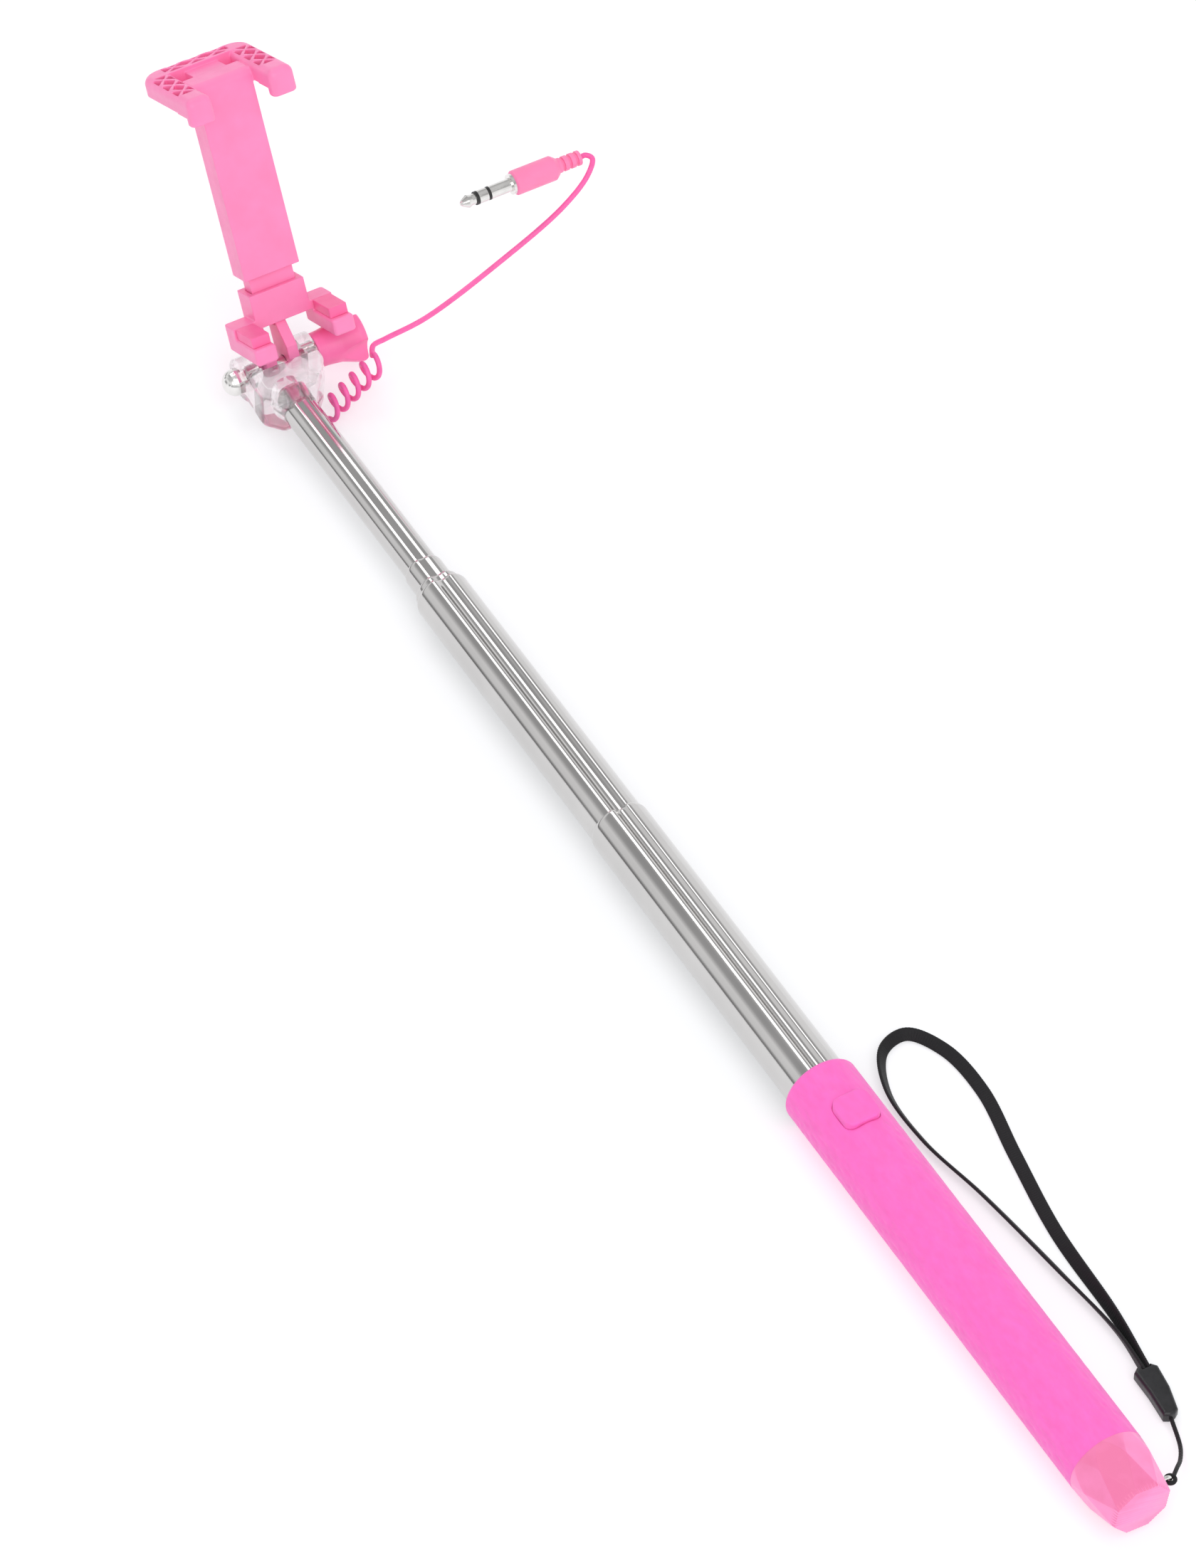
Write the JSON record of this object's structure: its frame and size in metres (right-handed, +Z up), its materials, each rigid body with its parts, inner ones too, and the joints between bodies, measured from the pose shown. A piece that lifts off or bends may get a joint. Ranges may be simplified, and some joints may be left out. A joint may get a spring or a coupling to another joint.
{
  "type": "selfie stick",
  "caption": "Telescopic selfie stick with a faceted grip, shutter button, steel tubes, a clear tilting yoke, a spring phone clamp, a coiled jack cable and a wrist strap.",
  "frame": {"origin": "centre of the grip's butt face", "axes": "+Y along the pole towards the head, +Z up with the shutter button on top, +X towards the tilt knob"},
  "size_m": [0.1069, 0.4411, 0.0834],
  "materials": {
    "grip_pink": "satin soft-touch coat",
    "cap_pink": "translucent gloss",
    "tube_steel": "polished drawn steel",
    "sleeve_black": "moulded",
    "clear_plastic": "clear moulded polycarbonate",
    "bright_metal": "bright nickel plate",
    "knob_pink": "moulded",
    "clamp_pink": "moulded, semi-gloss",
    "pad_pink": "soft pad",
    "spring_steel": "oiled wire",
    "cord_pink": "soft sheath",
    "plug_black": "insulator",
    "board_green": "flexible circuit",
    "strap_black": "woven",
    "clasp_black": "moulded"
  },
  "bodies": {
    "handle": {"handle_shell": "grip_pink", "grip_mouth_bushing": "sleeve_black", "end_cap": "cap_pink", "strap_eyelet": "bright_metal", "switch_board": "board_green", "switch_dome": "bright_metal", "inner_coil_cord": "cord_pink"},
    "button": {"button_cap": "grip_pink"},
    "strap": {"strap_cord": "strap_black", "strap_clasp": "clasp_black", "strap_ribbon": "strap_black"},
    "tube_1": {"tube_1": "tube_steel", "tube_1_sleeve": "sleeve_black"},
    "tube_2": {"tube_2": "tube_steel", "tube_2_sleeve": "sleeve_black"},
    "tube_3": {"tube_3": "tube_steel", "tube_3_sleeve": "sleeve_black"},
    "tube_4": {"tube_4": "tube_steel", "tube_4_sleeve": "sleeve_black"},
    "head": {"tube_5": "tube_steel", "tube_5_sleeve": "sleeve_black", "yoke": "clear_plastic", "tube_end_plug": "knob_pink", "dome_nut": "bright_metal", "knob_washer": "bright_metal", "cable_cord": "cord_pink", "plug_barrel": "cord_pink", "plug_sleeve": "bright_metal", "plug_ring": "bright_metal", "plug_tip": "bright_metal", "plug_insulator": "plug_black"},
    "knob": {"knob": "knob_pink", "knob_stud": "bright_metal"},
    "clamp_base": {"clamp_base": "clamp_pink", "foot_pads": "pad_pink", "guide_post": "knob_pink", "spring_pin_lower": "spring_steel", "post_screws": "spring_steel", "jaw_springs": "spring_steel"},
    "upper_jaw": {"upper_jaw": "clamp_pink", "spring_pin_upper": "spring_steel", "jaw_pads": "pad_pink"}
  },
  "joints": [
    {"name": "button_press", "type": "slide", "parent": "handle", "child": "button", "axis": [0, 0, -1], "range_m": [0, 0.00025], "stiffness_N_per_m": 10, "springref_m": -0.0003},
    {"name": "strap_swing", "type": "hinge", "parent": "handle", "child": "strap", "pos_m": [0.0093, 0.0035, 0], "axis": [0, 0, 1], "range_deg": [-110, 2]},
    {"name": "tube_1_slide", "type": "slide", "parent": "handle", "child": "tube_1", "axis": [0, 1, 0], "range_m": [-0.087, 0]},
    {"name": "tube_2_slide", "type": "slide", "parent": "tube_1", "child": "tube_2", "axis": [0, 1, 0], "range_m": [-0.0825, 0]},
    {"name": "tube_3_slide", "type": "slide", "parent": "tube_2", "child": "tube_3", "axis": [0, 1, 0], "range_m": [0, 0.079]},
    {"name": "tube_4_slide", "type": "slide", "parent": "tube_3", "child": "tube_4", "axis": [0, 1, 0], "range_m": [-0.0049, 0.07]},
    {"name": "tube_5_slide", "type": "slide", "parent": "tube_4", "child": "head", "axis": [0, 1, 0], "range_m": [-0.058, 0.008]},
    {"name": "knob_turn", "type": "hinge", "parent": "head", "child": "knob", "pos_m": [0, 0.393, 0], "axis": [1, 0, 0], "continuous": true},
    {"name": "clamp_tilt", "type": "hinge", "parent": "head", "child": "clamp_base", "pos_m": [0, 0.393, 0], "axis": [1, 0, 0], "range_deg": [-140, 18]},
    {"name": "jaw_slide", "type": "slide", "parent": "clamp_base", "child": "upper_jaw", "axis": [0, 0.4226, 0.9063], "range_m": [-0.0035, 0.0214], "stiffness_N_per_m": 180, "springref_m": -0.02, "deforming": ["jaw_springs"]}
  ]
}
